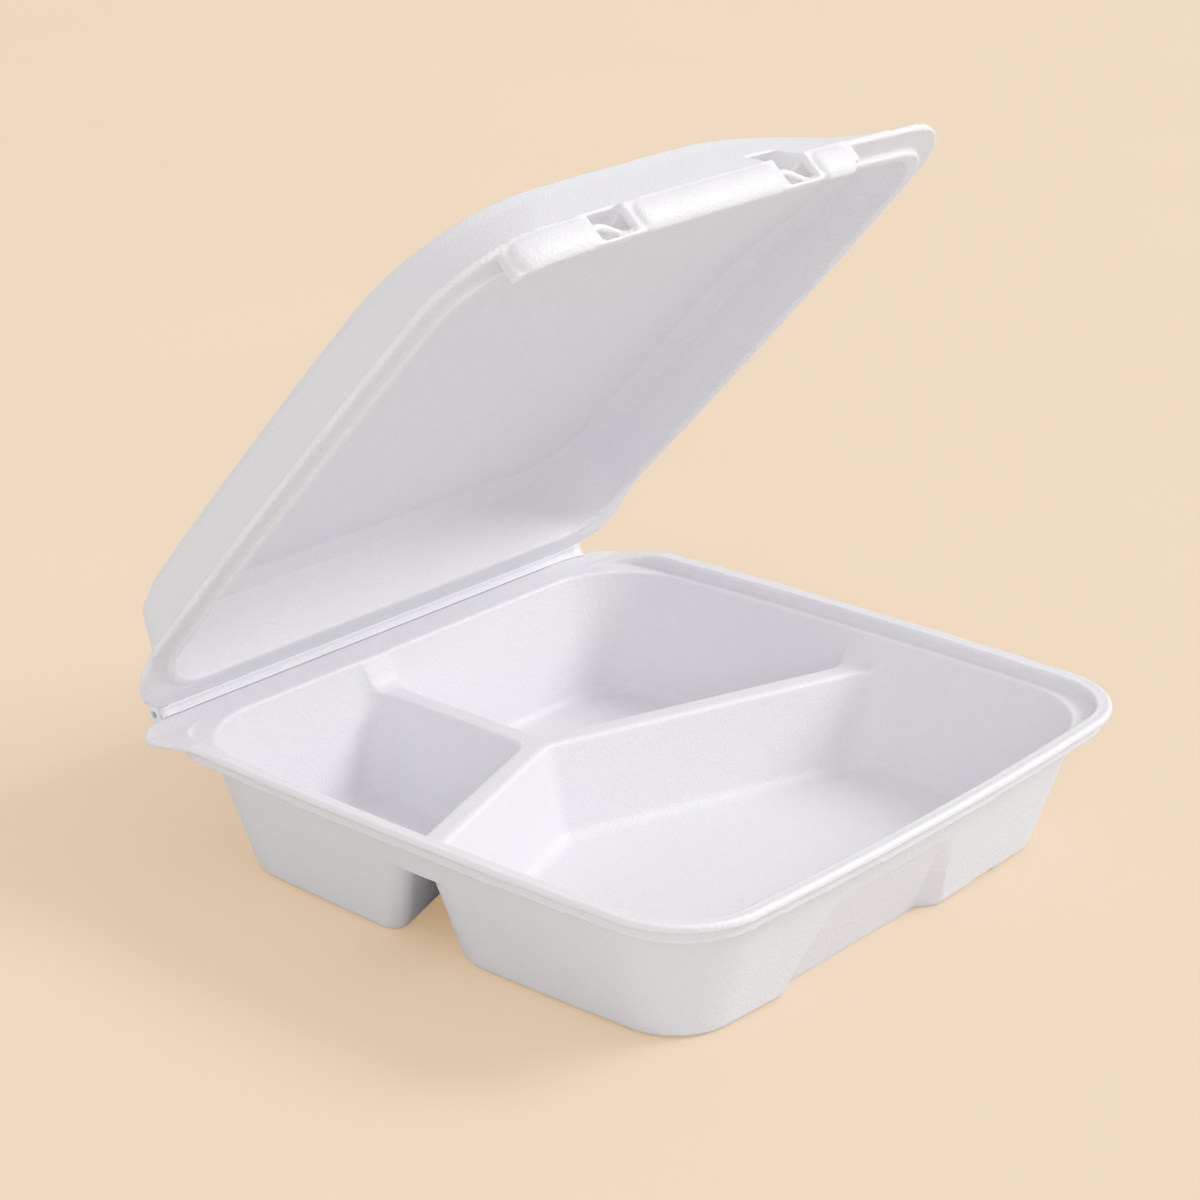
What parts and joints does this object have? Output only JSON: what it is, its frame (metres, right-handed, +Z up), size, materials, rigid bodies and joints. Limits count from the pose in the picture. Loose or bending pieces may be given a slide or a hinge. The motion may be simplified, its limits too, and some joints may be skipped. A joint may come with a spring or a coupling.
{
  "type": "foam clamshell container",
  "caption": "Square hinged foam food container with a three compartment tray, a domed lid and a front latch band.",
  "frame": {"origin": "centre of the tray's rim outline, on the surface it stands on", "axes": "+Z up, +Y from the front latch towards the hinge, +X along the hinge to the right as seen from the front"},
  "size_m": [0.244, 0.2541, 0.2377],
  "materials": {
    "foam": "white expanded polystyrene foam, fine grain, satin skin"
  },
  "bodies": {
    "base": {"base_tray": "foam"},
    "lid": {"lid": "foam"}
  },
  "joints": [
    {"name": "lid_hinge", "type": "hinge", "parent": "base", "child": "lid", "pos_m": [0, 0.1254, 0.0457], "axis": [-1, 0, 0], "range_deg": [-48, 132]}
  ]
}
